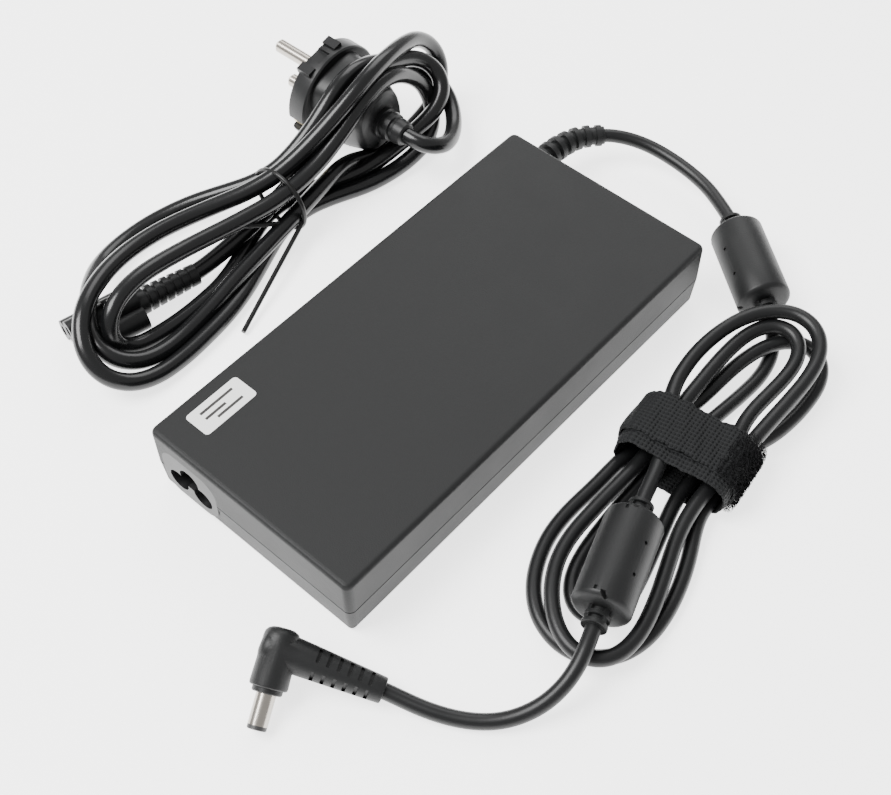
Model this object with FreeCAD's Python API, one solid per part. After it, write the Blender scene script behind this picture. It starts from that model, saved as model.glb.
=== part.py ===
import FreeCAD, Part
import math
import os

V = FreeCAD.Vector

# A laptop power adapter with its lead for the laptop and its lead for the wall socket.
# Millimetres. Origin: centre of the case's footprint on the surface it stands on.
# +X is the case's width, +Y its length from the mains inlet to the laptop cord, +Z up.

# ---- driving dimensions -------------------------------------------------------------
case_width = 79.0
case_length = 163.3
case_height = 26.1
seam_height = 11.5
case_wall = 2.2
corner_radius = 2.4
edge_radius = 1.6
base_inset = 0.8
lip_height = 2.0
lip_gap = 0.05

inlet_x = -24.7
inlet_pole_z = 9.6
earth_offset = 4.5
pole_pitch = 10.0
inlet_lobe_radius = 3.8
inlet_pin_radius = 1.18
inlet_pin_length = 10.0
inlet_cavity_depth = 14.5
inlet_depth = 17.5

cord_radius = 2.35
relief_x = -31.3
relief_z = 13.0
ferrite_radius = 8.75
ferrite_length = 32.0
ferrite_neck_radius = 3.8
ferrite_neck_length = 5.5

barrel_radius = 2.75
barrel_length = 8.6
barrel_tip_length = 1.2
barrel_hole_radius = 1.25

lead_radius = 2.9
socket_pin_radius = 2.4
socket_pin_length = 19.0
socket_pin_pitch = 19.0
plug_disc_radius = 18.5
plug_disc_depth = 8.0
plug_body_depth = 28.0
connector_lobe_radius = 3.5

board_z = 4.4
board_thickness = 1.6
board_width = 72.0
board_start_y = -61.0
board_end_y = 76.0
ceiling_z = 23.2

screw_shank_radius = 1.1
screw_head_height = 1.6

half_width = case_width / 2.0
half_length = case_length / 2.0
board_top = board_z + board_thickness
screw_z = board_top + 12.2

nodes = {}


# ---- general shapes -----------------------------------------------------------------
def box(x0, x1, y0, y1, z0, z1):
    return Part.makeBox(x1 - x0, y1 - y0, z1 - z0, V(x0, y0, z0))


def cylinder(radius, start, direction, length):
    return Part.makeCylinder(radius, length, start, direction)


def cone(radius_a, radius_b, start, direction, length):
    return Part.makeCone(radius_a, radius_b, length, start, direction)


def ring(outer, inner, start, direction, length):
    return cylinder(outer, start, direction, length).cut(cylinder(inner, start, direction, length))


def joined(shapes):
    shapes = list(shapes)
    return shapes[0].multiFuse(shapes[1:]).removeSplitter()


def separate(shapes):
    return Part.makeCompound(list(shapes))


def rounded_rectangle(half_x, half_y, radius, z):
    """A closed wire of four lines and four quarter arcs round the origin."""
    diagonal = radius * math.sqrt(0.5)
    edges = []
    corners = [(1, 1), (-1, 1), (-1, -1), (1, -1)]
    starts = []
    ends = []
    for sx, sy in corners:
        cx = sx * (half_x - radius)
        cy = sy * (half_y - radius)
        on_side = V(sx * half_x, cy, z)
        on_end = V(cx, sy * half_y, z)
        middle = V(cx + sx * diagonal, cy + sy * diagonal, z)
        first, last = (on_side, on_end) if sx * sy > 0 else (on_end, on_side)
        edges.append(Part.Arc(first, middle, last).toShape())
        starts.append(first)
        ends.append(last)
    for index in range(4):
        edges.append(Part.LineSegment(ends[index], starts[(index + 1) % 4]).toShape())
    return Part.Wire(Part.__sortEdges__(edges))


def stacked_case(sections):
    """Solid through rounded rectangles given as (height, inset from the case's outline)."""
    wires = []
    for z, inset in sections:
        radius = max(corner_radius - inset, 0.4)
        wires.append(rounded_rectangle(half_width - inset, half_length - inset, radius, z))
    return Part.makeLoft(wires, True, True)


def edge_rounding(z_edge, direction, inset, radius, steps=5):
    """Sections that round the case's top (direction 1) or bottom (direction -1) edge."""
    sections = []
    for step in range(steps + 1):
        angle = math.pi / 2.0 * step / steps
        z = z_edge - direction * radius * (1.0 - math.sin(angle))
        sections.append((z, inset + radius * (1.0 - math.cos(angle))))
    return sections


def tapered_slot(center_a, radius_a, center_b, radius_b, z0, z1):
    """Upright solid whose outline wraps two circles with two tangent lines."""
    ax, ay = center_a
    bx, by = center_b
    distance = math.hypot(bx - ax, by - ay)
    heading = math.atan2(by - ay, bx - ax)
    spread = math.acos((radius_a - radius_b) / distance)

    def on_circle(center, radius, angle):
        return V(center[0] + radius * math.cos(angle), center[1] + radius * math.sin(angle), z0)

    left_a = on_circle(center_a, radius_a, heading + spread)
    right_a = on_circle(center_a, radius_a, heading - spread)
    left_b = on_circle(center_b, radius_b, heading + spread)
    right_b = on_circle(center_b, radius_b, heading - spread)
    back = on_circle(center_a, radius_a, heading + math.pi)
    front = on_circle(center_b, radius_b, heading)
    edges = [
        Part.Arc(left_a, back, right_a).toShape(),
        Part.LineSegment(right_a, right_b).toShape(),
        Part.Arc(right_b, front, left_b).toShape(),
        Part.LineSegment(left_b, left_a).toShape(),
    ]
    return Part.Face(Part.Wire(edges)).extrude(V(0, 0, z1 - z0))


def rounded_route(name, points):
    """Straight runs joined by arcs as large as their two runs allow."""
    pieces = []
    start = points[0]
    length = 0.0
    radii = []
    for before, corner, after in zip(points, points[1:], points[2:]):
        incoming = (corner - before).normalize()
        outgoing = (after - corner).normalize()
        half_turn = incoming.getAngle(outgoing) / 2.0
        shorter = min((corner - before).Length, (after - corner).Length)
        radius = 0.45 * shorter / math.tan(half_turn)
        radii.append(radius)
        arc_start = corner - incoming * (0.45 * shorter)
        arc_end = corner + outgoing * (0.45 * shorter)
        inward = (outgoing - incoming).normalize()
        middle = corner + inward * (radius / math.cos(half_turn) - radius)
        pieces.append(Part.LineSegment(start, arc_start).toShape())
        pieces.append(Part.Arc(arc_start, middle, arc_end).toShape())
        length += (arc_start - start).Length + radius * 2.0 * half_turn
        start = arc_end
    pieces.append(Part.LineSegment(start, points[-1]).toShape())
    length += (points[-1] - start).Length
    print(name, "length", round(length, 1), "radii", [round(radius, 1) for radius in radii])
    return Part.Wire(pieces), length


def tube(name, points, radius):
    """Round tube along a route, with its volume checked against section times length."""
    path, length = rounded_route(name, points)
    heading = (points[1] - points[0]).normalize()
    section = Part.Wire(Part.makeCircle(radius, points[0], heading))
    solid = path.makePipeShell([section], True, True)
    print(name, "volume ratio", round(solid.Volume / (math.pi * radius ** 2 * length), 4))
    return solid


# ---- case ---------------------------------------------------------------------------
def build_case():
    top = [(seam_height, 0.3), (seam_height + 0.4, 0.0)]
    top += edge_rounding(case_height, 1, 0.0, edge_radius)
    bottom = list(reversed(edge_rounding(0.0, -1, base_inset, edge_radius)))
    bottom.append((seam_height, 0.0))
    top_cavity = stacked_case([(seam_height - 1.0, case_wall), (case_height - case_wall, case_wall)])
    bottom_cavity = stacked_case([
        (case_wall, case_wall + base_inset),
        (seam_height, case_wall),
        (seam_height + lip_height + 1.0, case_wall),
    ])
    rebate = stacked_case([(seam_height - 1.0, 1.1), (seam_height + lip_height + 0.1, 1.1)])
    lip = stacked_case([(seam_height - 1.0, 1.1 + lip_gap), (seam_height + lip_height, 1.1 + lip_gap)])
    top_shell = stacked_case(top).cut(top_cavity).cut(rebate)
    bottom_shell = stacked_case(bottom).fuse(lip).cut(bottom_cavity)
    label_recess = box(-24.0, 24.0, -42.0, 42.0, -1.0, 0.4)
    bottom_shell = bottom_shell.cut(label_recess)
    openings = [
        inlet_outline(-half_length - 1.0, case_wall + 2.0, 0.0),
        cylinder(5.0, V(relief_x, half_length - case_wall - 1.5, relief_z), V(0, 1, 0), 6.0),
    ]
    for opening in openings:
        top_shell = top_shell.cut(opening)
        bottom_shell = bottom_shell.cut(opening)
    nodes["top_shell"] = top_shell
    nodes["bottom_shell"] = bottom_shell
    nodes["rating_label"] = box(-23.8, 23.8, -41.8, 41.8, 0.15, 0.4)


def build_label():
    label_center = V(-29.7, -62.0, case_height)
    label_half_x = 4.8
    label_half_y = 10.0
    outline = rounded_rectangle(label_half_x, label_half_y, 1.2, 0.0)
    label = Part.Face(outline).extrude(V(0, 0, 0.2))
    label.translate(label_center)
    nodes["brand_label"] = label


# ---- mains inlet --------------------------------------------------------------------
def inlet_outline(start_y, depth, grow):
    outline = rounded_rectangle(11.3 + grow, 9.05 + grow, 6.0 + grow, 0.0)
    prism = Part.Face(outline).extrude(V(0, 0, depth))
    prism.rotate(V(0, 0, 0), V(1, 0, 0), -90.0)
    prism.translate(V(inlet_x, start_y, inlet_pole_z + 2.35))
    return prism


def pole_centers():
    return [
        V(-pole_pitch / 2.0, 0, 0),
        V(pole_pitch / 2.0, 0, 0),
        V(0, 0, earth_offset),
    ]


def clover(radius, length):
    """Three joined lobes, the earth lobe above the other two, lying along +Y."""
    lobes = [cylinder(radius, center, V(0, 1, 0), length) for center in pole_centers()]
    web = box(-pole_pitch / 2.0, pole_pitch / 2.0, 0, length, 0.4, earth_offset - 1.0)
    return joined(lobes + [web])


def build_inlet():
    origin = V(inlet_x, -half_length, inlet_pole_z)
    inner_face_y = -half_length + case_wall
    housing = inlet_outline(-half_length, inlet_depth, 0.0)
    housing = housing.fuse(inlet_outline(inner_face_y, 2.0, 0.8)).removeSplitter()
    for shell in ("top_shell", "bottom_shell"):
        nodes[shell] = nodes[shell].cut(housing)
    cavity = clover(inlet_lobe_radius, inlet_cavity_depth)
    cavity.translate(origin)
    housing = housing.cut(cavity)
    names = ["inlet_line_pin", "inlet_neutral_pin", "inlet_earth_pin"]
    tail_length = 3.5
    for name, center in zip(names, pole_centers()):
        root = origin + center + V(0, inlet_cavity_depth, 0)
        tip_round = 0.5
        blade = cylinder(inlet_pin_radius, root - V(0, inlet_pin_length - tip_round, 0), V(0, 1, 0),
                         inlet_pin_length - tip_round)
        nose = cone(inlet_pin_radius - 0.45, inlet_pin_radius, root - V(0, inlet_pin_length, 0),
                    V(0, 1, 0), tip_round)
        tail = cylinder(0.8, root, V(0, 1, 0), inlet_depth - inlet_cavity_depth + tail_length)
        pin = joined([nose, blade, tail])
        housing = housing.cut(tail)
        nodes[name] = pin
    nodes["inlet_housing"] = housing


def build_inlet_wires():
    wires = []
    wire_radius = 0.75
    tail_y = -half_length + inlet_depth + 3.5
    landing_x = [-28.0, -20.5, -24.5]
    for center, x in zip(pole_centers(), landing_x):
        start = V(inlet_x + center.x, tail_y, inlet_pole_z + center.z)
        points = [start, start + V(0, 2.6, 0.4), V(x, tail_y + 4.2, board_top + 3.0),
                  V(x, tail_y + 4.4, board_top)]
        wires.append(tube("inlet wire", points, wire_radius))
    nodes["inlet_wires"] = separate(wires)


# ---- electronics --------------------------------------------------------------------
def build_board():
    board = box(-board_width / 2, board_width / 2, board_start_y, board_end_y, board_z, board_top)
    for sx in (-1, 1):
        for y in (board_start_y + 4.0, board_end_y - 4.0):
            hole = cylinder(1.6, V(sx * (board_width / 2 - 4.0), y, board_z - 1.0), V(0, 0, 1), 4.0)
            board = board.cut(hole)
    nodes["main_board"] = board
    nodes["insulating_sheet"] = box(-35.5, 35.5, board_start_y, board_end_y, 2.6, 3.0)
    posts = []
    for sx in (-1, 1):
        for y in (board_start_y + 4.0, board_end_y - 4.0):
            x = sx * (board_width / 2 - 4.0)
            foot = cylinder(3.0, V(x, y, 3.0), V(0, 0, 1), board_z - 3.0)
            peg = cylinder(1.5, V(x, y, board_z), V(0, 0, 1), board_thickness + 0.6)
            posts.append(foot.fuse(peg).removeSplitter())
    nodes["board_posts"] = separate(posts)


def upright_disc(center_x, center_y, diameter, thickness):
    middle_z = board_top + 2.0 + diameter / 2.0
    disc = cylinder(diameter / 2.0, V(center_x - thickness / 2.0, center_y, middle_z), V(1, 0, 0), thickness)
    legs = [cylinder(0.35, V(center_x, center_y + dy, board_top), V(0, 0, 1), 4.0) for dy in (-2.5, 2.5)]
    return joined([disc] + legs)


def build_input_parts():
    fuse_start = V(-31.0, -53.0, board_top + 2.6)
    body = cylinder(1.8, fuse_start, V(0, 1, 0), 11.0)
    caps = [cylinder(2.1, fuse_start + V(0, dy, 0), V(0, 1, 0), 2.5) for dy in (-1.0, 9.5)]
    legs = [cylinder(0.35, V(-31.0, y, board_top), V(0, 0, 1), 2.6) for y in (-53.0, -42.0)]
    nodes["fuse"] = joined([body] + caps + legs)
    nodes["varistor"] = upright_disc(-24.0, -50.0, 9.0, 3.6)
    nodes["inrush_thermistor"] = upright_disc(-17.5, -50.0, 9.5, 3.2)
    nodes["x_capacitor"] = box(-12.5, -3.5, -57.0, -39.0, board_top, board_top + 14.5)
    nodes["y_capacitor"] = upright_disc(-2.4, 3.0, 7.0, 3.0)


def winding_frame(core_center, core_inner, core_outer, core_height, wire, angle):
    """One turn of wire round a ring core's section, as a rectangular frame."""
    gap = 0.15
    turn = box(core_inner - gap - wire, core_outer + gap + wire, -wire / 2, wire / 2,
               -gap - wire, core_height + gap + wire)
    hollow = box(core_inner - gap, core_outer + gap, -wire, wire, -gap, core_height + gap)
    turn = turn.cut(hollow)
    turn.rotate(V(0, 0, 0), V(0, 0, 1), angle)
    turn.translate(core_center)
    return turn


def build_choke():
    center = V(9.0, -48.0, board_top + 2.5)
    core = ring(9.0, 4.8, center, V(0, 0, 1), 7.5)
    base = box(-1.5, 19.5, -58.5, -37.5, board_top, board_top + 1.4)
    turns = []
    turn_count = 9
    for side_angle in (0.0, 180.0):
        for index in range(turn_count):
            angle = side_angle - 58.0 + 116.0 * index / (turn_count - 1)
            turns.append(winding_frame(center, 4.8, 9.0, 7.5, 0.7, angle))
    nodes["choke_core"] = core
    nodes["choke_base"] = base
    nodes["choke_windings"] = separate(turns)


def to220(x, y, facing):
    """A transistor package standing on its legs with its tab toward facing (+1 or -1 in X)."""
    body = box(x - 2.2, x + 2.2, y - 5.0, y + 5.0, board_top + 2.5, board_top + 9.6)
    tab_x = x + facing * 2.2
    tab = box(min(tab_x, tab_x - facing * 1.3), max(tab_x, tab_x - facing * 1.3),
              y - 5.0, y + 5.0, board_top + 9.5, board_top + 14.6)
    tab = tab.cut(cylinder(screw_shank_radius, V(x - 5.0, y, screw_z), V(1, 0, 0), 10.0))
    legs = [box(x - 0.3, x + 0.3, y + dy - 0.4, y + dy + 0.4, board_top, board_top + 2.6)
            for dy in (-2.5, 0.0, 2.5)]
    return joined([body, tab] + legs)


def heatsink(x_plate, fin_direction, y0, y1):
    """An aluminium plate standing along Y with its upper edge bent over."""
    plate = box(x_plate, x_plate + 1.6, y0, y1, board_top + 0.3, ceiling_z - 0.8)
    x0, x1 = sorted((x_plate + 0.8, x_plate + 0.8 + fin_direction * 7.0))
    fin = box(x0, x1, y0, y1, ceiling_z - 2.4, ceiling_z - 0.8)
    return plate.fuse(fin).removeSplitter()


def screw(start, direction, length):
    head = cylinder(2.2, start, direction, screw_head_height)
    drive = cylinder(1.0, start, direction, 0.8)
    shank = cylinder(screw_shank_radius, start + direction * screw_head_height, direction, length)
    return head.fuse(shank).removeSplitter().cut(drive)


def build_primary_side():
    sink_x = 34.0
    switch_y = (-16.0, -3.0)
    screws = [screw(V(sink_x - 2.95, y, screw_z), V(1, 0, 0), 2.9) for y in switch_y]
    sink = heatsink(sink_x, -1, -34.0, 12.0)
    for fastener in screws:
        sink = sink.cut(fastener)
    nodes["primary_heatsink"] = sink
    transistors = [to220(sink_x - 2.25, y, 1) for y in switch_y]
    nodes["switching_transistors"] = separate(transistors)
    nodes["bridge_rectifier"] = box(sink_x - 4.1, sink_x - 0.05, -33.0, -23.0, board_top + 3.0, board_top + 14.0)
    inductor_core = box(6.0, 26.0, -30.0, -12.0, board_top + 1.0, board_top + 15.5)
    window = box(5.0, 27.0, -26.5, -15.5, board_top + 4.0, board_top + 12.5)
    middle_leg = box(12.5, 19.5, -26.5, -15.5, board_top + 4.0, board_top + 12.5)
    nodes["inductor_core"] = inductor_core.cut(window).fuse(middle_leg).removeSplitter()
    coil = box(8.0, 24.0, -26.3, -15.7, board_top + 4.2, board_top + 12.3)
    nodes["inductor_winding"] = coil.cut(middle_leg)
    can_start = V(-25.0, -32.0, board_top + 8.4)
    can = cylinder(8.2, can_start, V(0, 1, 0), 34.0)
    crimp = ring(8.6, 7.6, can_start + V(0, 3.0, 0), V(0, 1, 0), 1.6)
    small_can = cylinder(6.2, V(-8.5, -32.0, board_top + 6.6), V(0, 1, 0), 30.0)
    nodes["bulk_capacitors"] = separate([can.cut(crimp), small_can])
    nodes["heatsink_screws"] = separate(screws)


def build_transformer():
    x0, x1, y0, y1 = 0.0, 27.0, 4.0, 36.0
    low, high = board_top + 1.0, ceiling_z - 1.6
    outer = box(x0, x1, y0, y1, low, high)
    window = box(x0 - 1.0, x1 + 1.0, y0 + 6.0, y1 - 6.0, low + 3.0, high - 3.0)
    middle_z = (low + high) / 2.0
    leg = cylinder(5.0, V((x0 + x1) / 2.0, y0 + 5.9, middle_z), V(0, 1, 0), y1 - y0 - 11.8)
    nodes["transformer_core"] = outer.cut(window).fuse(leg).removeSplitter()
    winding = box(x0 + 2.0, x1 - 2.0, y0 + 7.4, y1 - 7.4, low + 3.1, high - 3.1)
    nodes["transformer_winding"] = winding.cut(leg)
    bobbin = []
    for y in (y0 + 6.05, y1 - 7.35):
        flange = box(x0 + 0.6, x1 - 0.6, y, y + 1.3, low + 3.05, high - 3.05)
        bobbin.append(flange.cut(leg))
    nodes["transformer_bobbin"] = separate(bobbin)


def build_output_side():
    sink_x = -36.0
    nodes["output_heatsink"] = heatsink(sink_x, 1, 8.0, 50.0)
    rectifier_y = (16.0, 29.0, 42.0)
    nodes["output_rectifiers"] = separate([to220(sink_x + 3.85, y, -1) for y in rectifier_y])
    cans = []
    for index in range(4):
        start = V(-22.0 + index * 11.2, 52.0, board_top + 5.4)
        cans.append(cylinder(5.1, start, V(0, 1, 0), 20.0))
    nodes["output_capacitors"] = separate(cans)
    choke_center = V(27.1, 60.0, board_top + 1.6)
    nodes["output_choke_core"] = ring(6.8, 3.4, choke_center, V(0, 0, 1), 8.0)
    loops = []
    for index in range(10):
        loops.append(winding_frame(choke_center, 3.4, 6.8, 8.0, 0.9, 36.0 * index))
    nodes["output_choke_winding"] = separate(loops)
    chips = [box(-18.0, -12.0, y, y + 4.0, board_top, board_top + 2.0) for y in (10.0, 18.0, 26.0)]
    nodes["control_chips"] = separate(chips)
    nodes["optocouplers"] = separate(
        [box(-9.0, -4.4, y, y + 6.5, board_top, board_top + 3.5) for y in (10.0, 20.0)])


def build_heat_spreaders():
    plate = box(-36.0, 36.0, board_start_y, board_end_y, ceiling_z, ceiling_z + 0.5)
    nodes["top_heat_spreader"] = plate
    pads = [
        box(1.0, 26.0, 5.0, 35.0, ceiling_z - 1.6, ceiling_z),
        box(28.0, 34.5, -33.0, 11.0, ceiling_z - 0.8, ceiling_z),
        box(-34.8, -28.5, 9.0, 49.0, ceiling_z - 0.8, ceiling_z),
    ]
    nodes["thermal_pads"] = separate(pads)


# ---- laptop cord --------------------------------------------------------------------
relief_route = [
    V(relief_x, half_length, relief_z), V(relief_x, 96.5, 12.9),
    V(-29.2, 105.3, 12.7), V(-23.4, 112.1, 12.4),
]
cord_route_a = [
    V(-23.4, 112.1, 12.4), V(-16.6, 117.4, 11.4), V(-7.2, 120.5, 10.0), V(5.8, 120.7, 9.0),
    V(18.4, 117.8, 8.6), V(27.0, 113.6, 8.7), V(31.37, 111.09, 8.8),
]
ferrite_a_ends = [V(35.7, 107.7, 8.8), V(60.9, 88.0, 8.8)]
ferrite_b_ends = [V(79.6, -6.3, 13.3), V(90.0, -36.5, 13.7)]
cord_route_c = [
    V(91.8, -41.7, 13.8), V(94.4, -49.0, 13.2), V(95.4, -58.0, 9.8), V(92.6, -67.2, 5.2),
    V(86.2, -75.8, 2.6), V(77.2, -82.2, 2.4), V(67.6, -86.4, 3.3), V(58.8, -89.3, 4.7),
]


def build_cord_relief():
    path, _ = rounded_route("relief", relief_route)
    inside = V(relief_x, half_length - case_wall - 3.0, relief_z)
    flange = cylinder(5.8, inside, V(0, 1, 0), 2.5)
    neck = cylinder(4.95, inside, V(0, 1, 0), case_wall + 7.0)
    core = path.makePipeShell([Part.Wire(Part.makeCircle(3.1, relief_route[0], V(0, 1, 0)))], True, True)
    pieces = [flange, neck, core]
    rib_count = 8
    rib_thickness = 1.9
    marks = path.discretize(4 * rib_count + 1)
    for index in range(1, rib_count):
        here = marks[4 * index + 2]
        ahead = (marks[4 * index + 3] - marks[4 * index + 1]).normalize()
        radius = 4.9 - 1.2 * index / (rib_count - 1)
        pieces.append(cylinder(radius, here - ahead * (rib_thickness / 2.0), ahead, rib_thickness))
    nodes["dc_strain_relief"] = joined(pieces)


def build_ferrite(prefix, ends):
    start, end = ends
    axis = (end - start).normalize()
    outer = cylinder(ferrite_radius, start, axis, ferrite_length)
    core_start = start + axis * 1.8
    core_length = ferrite_length - 3.6
    core = ring(ferrite_radius - 1.6, cord_radius + 0.6, core_start, axis, core_length)
    pieces = [outer]
    for base, direction in ((start, axis * -1), (start + axis * ferrite_length, axis)):
        pieces.append(cylinder(ferrite_neck_radius - 0.8, base, direction, ferrite_neck_length))
        for step in (1, 2):
            place = base + direction * (step * ferrite_neck_length / 2.0 - 1.5)
            pieces.append(cylinder(ferrite_neck_radius, place, direction, 1.5))
    overmould = joined(pieces).cut(core)
    nodes[prefix + "_core"] = core
    nodes[prefix + "_overmould"] = overmould
    return outer


# ---- laptop plug --------------------------------------------------------------------
elbow = V(32.0, -101.5, 12.0)
barrel_axis = V(0.383, -0.822, -0.42).normalize()
boot_axis = V(0.8836, 0.4016, -0.241).normalize()
boot_length = 30.3
housing_end = 10.4
collar_end = 11.9


def build_plug():
    housing = cone(5.0, 5.35, elbow - barrel_axis * 4.2, barrel_axis, housing_end + 4.2)
    crown = cone(3.6, 5.0, elbow - barrel_axis * 5.6, barrel_axis, 1.4)
    collar = cylinder(4.2, elbow + barrel_axis * housing_end, barrel_axis, collar_end - housing_end)
    boot = cone(4.9, 3.6, elbow, boot_axis, boot_length)
    heel = cylinder(5.0, elbow, boot_axis * -1, 4.6)
    body = joined([housing, crown, collar, boot, heel])
    slot_count = 6
    slot_pitch = 3.05
    for row in range(4):
        for index in range(slot_count):
            distance = 10.8 + index * slot_pitch
            slot = Part.makeBox(1.0, 4.4, 2.0, V(-0.5, -2.2, 2.75))
            turned = FreeCAD.Rotation(V(0, 0, 1), row * 90.0 + 45.0)
            laid = FreeCAD.Rotation(V(0, 0, 1), boot_axis)
            quarter = FreeCAD.Placement(V(0, 0, distance), turned)
            stand = FreeCAD.Placement(elbow, laid)
            across = FreeCAD.Placement(V(0, 0, 0), FreeCAD.Rotation(V(0, 1, 0), 90.0))
            slot.Placement = stand.multiply(quarter).multiply(across)
            body = body.cut(slot)
    root = 3.0
    inner = barrel_radius + 0.55
    socket = cylinder(inner, elbow + barrel_axis * root, barrel_axis, 20.0)
    body = body.cut(socket)
    tip_start = collar_end + barrel_length
    sleeve_radius = 2.35
    contact_radius = 1.55
    buried = ring(inner, sleeve_radius, elbow + barrel_axis * root, barrel_axis, collar_end - root)
    exposed = ring(barrel_radius, sleeve_radius, elbow + barrel_axis * collar_end, barrel_axis, barrel_length)
    nodes["dc_plug_barrel"] = buried.fuse(exposed).removeSplitter()
    sleeve = ring(sleeve_radius, contact_radius, elbow + barrel_axis * root, barrel_axis, tip_start - root)
    nose = ring(sleeve_radius, barrel_hole_radius, elbow + barrel_axis * tip_start, barrel_axis,
                barrel_tip_length)
    nodes["dc_plug_insulator"] = sleeve.fuse(nose).removeSplitter()
    nodes["dc_plug_contact"] = ring(contact_radius, barrel_hole_radius, elbow + barrel_axis * root,
                                    barrel_axis, tip_start - root)
    nodes["dc_plug_body"] = body


# ---- laptop cord hank and strap -----------------------------------------------------
strap_center = V(75.8, 27.5, 0.0)
strap_half_width = 20.2
strap_height = 17.6
strap_length = 21.0
strap_thickness = 1.6


def strap_prism(half_width_here, z0, z1, radius, y0, y1):
    half_height = (z1 - z0) / 2.0
    outline = rounded_rectangle(half_width_here, half_height, radius, 0.0)
    prism = Part.Face(outline).extrude(V(0, 0, y1 - y0))
    prism.rotate(V(0, 0, 0), V(1, 0, 0), -90.0)
    prism.translate(V(strap_center.x, y0, (z0 + z1) / 2.0))
    return prism


def build_cord_hank(ferrite_a_solid, ferrite_b_solid):
    y0 = strap_center.y - strap_length / 2.0
    y1 = strap_center.y + strap_length / 2.0
    outer = strap_prism(strap_half_width, 0.1, strap_height, 6.5, y0, y1)
    hollow = strap_prism(strap_half_width - strap_thickness, 0.1 + strap_thickness,
                         strap_height - strap_thickness, 5.2, y0 - 1.0, y1 + 1.0)
    nodes["cable_strap"] = outer.cut(hollow)
    core = strap_prism(strap_half_width - strap_thickness - 0.1, 0.2 + strap_thickness,
                       strap_height - strap_thickness - 0.1, 5.1, y0 - 0.5, y1 + 0.5)
    lower = tapered_slot((82.0, -23.5), 23.0, (75.5, y0 - 14.0), 18.0, 0.0, 9.7)
    upper = tapered_slot((75.5, 68.5), 18.6, (75.5, y1 + 10.0), 17.0, 0.0, 17.5)
    lower_neck = tapered_slot((75.5, y0 - 14.0), 17.0, (75.5, y0 - 16.0), 17.0, 0.0, 12.0)
    slabs = joined([lower, upper, lower_neck])
    band = box(strap_center.x - 30.0, strap_center.x + 30.0, y0 - 0.3, y1 + 0.3, -1.0, 30.0)
    bridge = box(strap_center.x - 15.0, strap_center.x + 15.0, y0 - 8.0, y1 + 8.0, 2.0, 9.0)
    hank = slabs.cut(band).fuse(core)
    hank = hank.fuse(bridge.common(core.fuse(slabs))).removeSplitter()
    for ferrite in (nodes["ferrite_a_overmould"], ferrite_a_solid,
                    nodes["ferrite_b_overmould"], ferrite_b_solid):
        hank = hank.cut(ferrite)
    solids = sorted(hank.Solids, key=lambda solid: solid.Volume)
    print("laptop cord hank solids", [round(solid.Volume) for solid in solids])
    nodes["dc_cord_hank"] = solids[-1]


# ---- wall plug ----------------------------------------------------------------------
disc_center = V(-109.5, 61.0, 19.0)
pin_axis = V(-1.0, -0.023, 0.011).normalize()
pin_roll = 77.6


def plug_frame():
    """Unit vectors across the wall plug: along its pins' row and along its earth strips."""
    level = V(0, 0, 1).cross(pin_axis).normalize()
    upright = pin_axis.cross(level).normalize()
    angle = math.radians(pin_roll)
    row = level * math.cos(angle) + upright * math.sin(angle)
    return row, pin_axis.cross(row).normalize()


def oriented_box(center, x_axis, y_axis, size):
    """A box of the given size centred on a point, its sides along the given directions."""
    z_axis = x_axis.cross(y_axis)
    block = Part.makeBox(size[0], size[1], size[2], V(-size[0] / 2, -size[1] / 2, -size[2] / 2))
    matrix = FreeCAD.Matrix(
        x_axis.x, y_axis.x, z_axis.x, center.x,
        x_axis.y, y_axis.y, z_axis.y, center.y,
        x_axis.z, y_axis.z, z_axis.z, center.z,
        0, 0, 0, 1)
    block.Placement = FreeCAD.Placement(matrix)
    return block


def build_wall_plug():
    row, strip_side = plug_frame()
    back = pin_axis * -1
    disc = cylinder(plug_disc_radius, disc_center, back, plug_disc_depth)
    body = cone(15.6, 10.8, disc_center + back * (plug_disc_depth - 0.5), back,
                plug_body_depth - plug_disc_depth + 0.5)
    boot = cone(5.4, 3.7, disc_center + back * plug_body_depth, back, 11.0)
    solid = joined([disc, body, boot])
    pins = []
    strips = []
    for sign in (-1, 1):
        pin_base = disc_center + row * (sign * socket_pin_pitch / 2.0)
        root = cylinder(2.0, pin_base + back * 12.0, pin_axis, 12.0)
        shaft = cylinder(socket_pin_radius, pin_base, pin_axis, socket_pin_length - 1.0)
        nose = cone(socket_pin_radius, socket_pin_radius - 0.9,
                    pin_base + pin_axis * (socket_pin_length - 1.0), pin_axis, 1.0)
        pins.append(joined([root, shaft, nose]))
        solid = solid.cut(root)
        groove_center = disc_center + strip_side * (sign * (plug_disc_radius - 1.0)) + back * 4.0
        solid = solid.cut(oriented_box(groove_center, strip_side, row, (4.0, 6.4, 10.0)))
        strip_center = disc_center + strip_side * (sign * (plug_disc_radius - 2.6)) + back * 4.0
        strips.append(oriented_box(strip_center, strip_side, row, (0.8, 4.8, 8.0)))
        notch_center = disc_center + row * (sign * plug_disc_radius) + back * 3.0
        solid = solid.cut(oriented_box(notch_center, row, strip_side, (4.4, 5.2, 8.0)))
    earth_start = disc_center + strip_side * 9.5
    hole = cylinder(2.9, earth_start, back, 15.0)
    nodes["wall_plug_earth_socket"] = ring(2.85, 2.4, earth_start + back * 1.0, back, 13.0)
    nodes["wall_plug_body"] = solid.cut(hole)
    nodes["wall_plug_pins"] = separate(pins)
    nodes["wall_plug_earth_strips"] = separate(strips)


# ---- appliance connector ------------------------------------------------------------
connector_face = V(-98.5, -67.0, 4.2)
connector_axis = V(0.221, 0.975, 0.02).normalize()
connector_body_length = 24.0


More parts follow.
